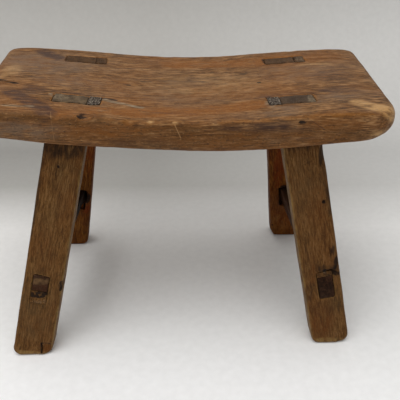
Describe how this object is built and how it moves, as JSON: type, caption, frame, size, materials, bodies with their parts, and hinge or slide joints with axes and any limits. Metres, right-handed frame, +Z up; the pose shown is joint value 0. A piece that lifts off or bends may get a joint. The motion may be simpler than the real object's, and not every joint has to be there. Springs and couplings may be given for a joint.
{
  "type": "rustic low stool",
  "caption": "Low wooden stool: thick plank seat curved like a saddle, on splayed rectangular legs wedged through it, with a pegged stretcher at each end.",
  "frame": {"origin": "centre of the bounding box at floor level, under the middle of the seat", "axes": "+X along the seat's length, +Y from the front edge to the back edge, +Z up from the floor"},
  "size_m": [0.4134, 0.2466, 0.2869],
  "materials": {
    "seat_wood": "old oiled hardwood, worn smooth by use",
    "leg_wood": "old oiled hardwood, dull",
    "stretcher_wood": "old hardwood, dark and dull",
    "wedge_wood": "end grain, grey and weathered",
    "peg_wood": "dark, dry"
  },
  "bodies": {
    "root": {"seat_plank": "seat_wood", "front_left_leg": "leg_wood", "front_right_leg": "leg_wood", "rear_left_leg": "leg_wood", "rear_right_leg": "leg_wood", "left_stretcher": "stretcher_wood", "right_stretcher": "stretcher_wood", "front_left_leg_wedge": "wedge_wood", "front_left_stretcher_wedge": "wedge_wood", "front_left_peg": "peg_wood", "front_right_leg_wedge": "wedge_wood", "front_right_stretcher_wedge": "wedge_wood", "front_right_peg": "peg_wood", "rear_left_leg_wedge": "wedge_wood", "rear_left_stretcher_wedge": "wedge_wood", "rear_left_peg": "peg_wood", "rear_right_leg_wedge": "wedge_wood", "rear_right_stretcher_wedge": "wedge_wood", "rear_right_peg": "peg_wood"}
  },
  "joints": []
}
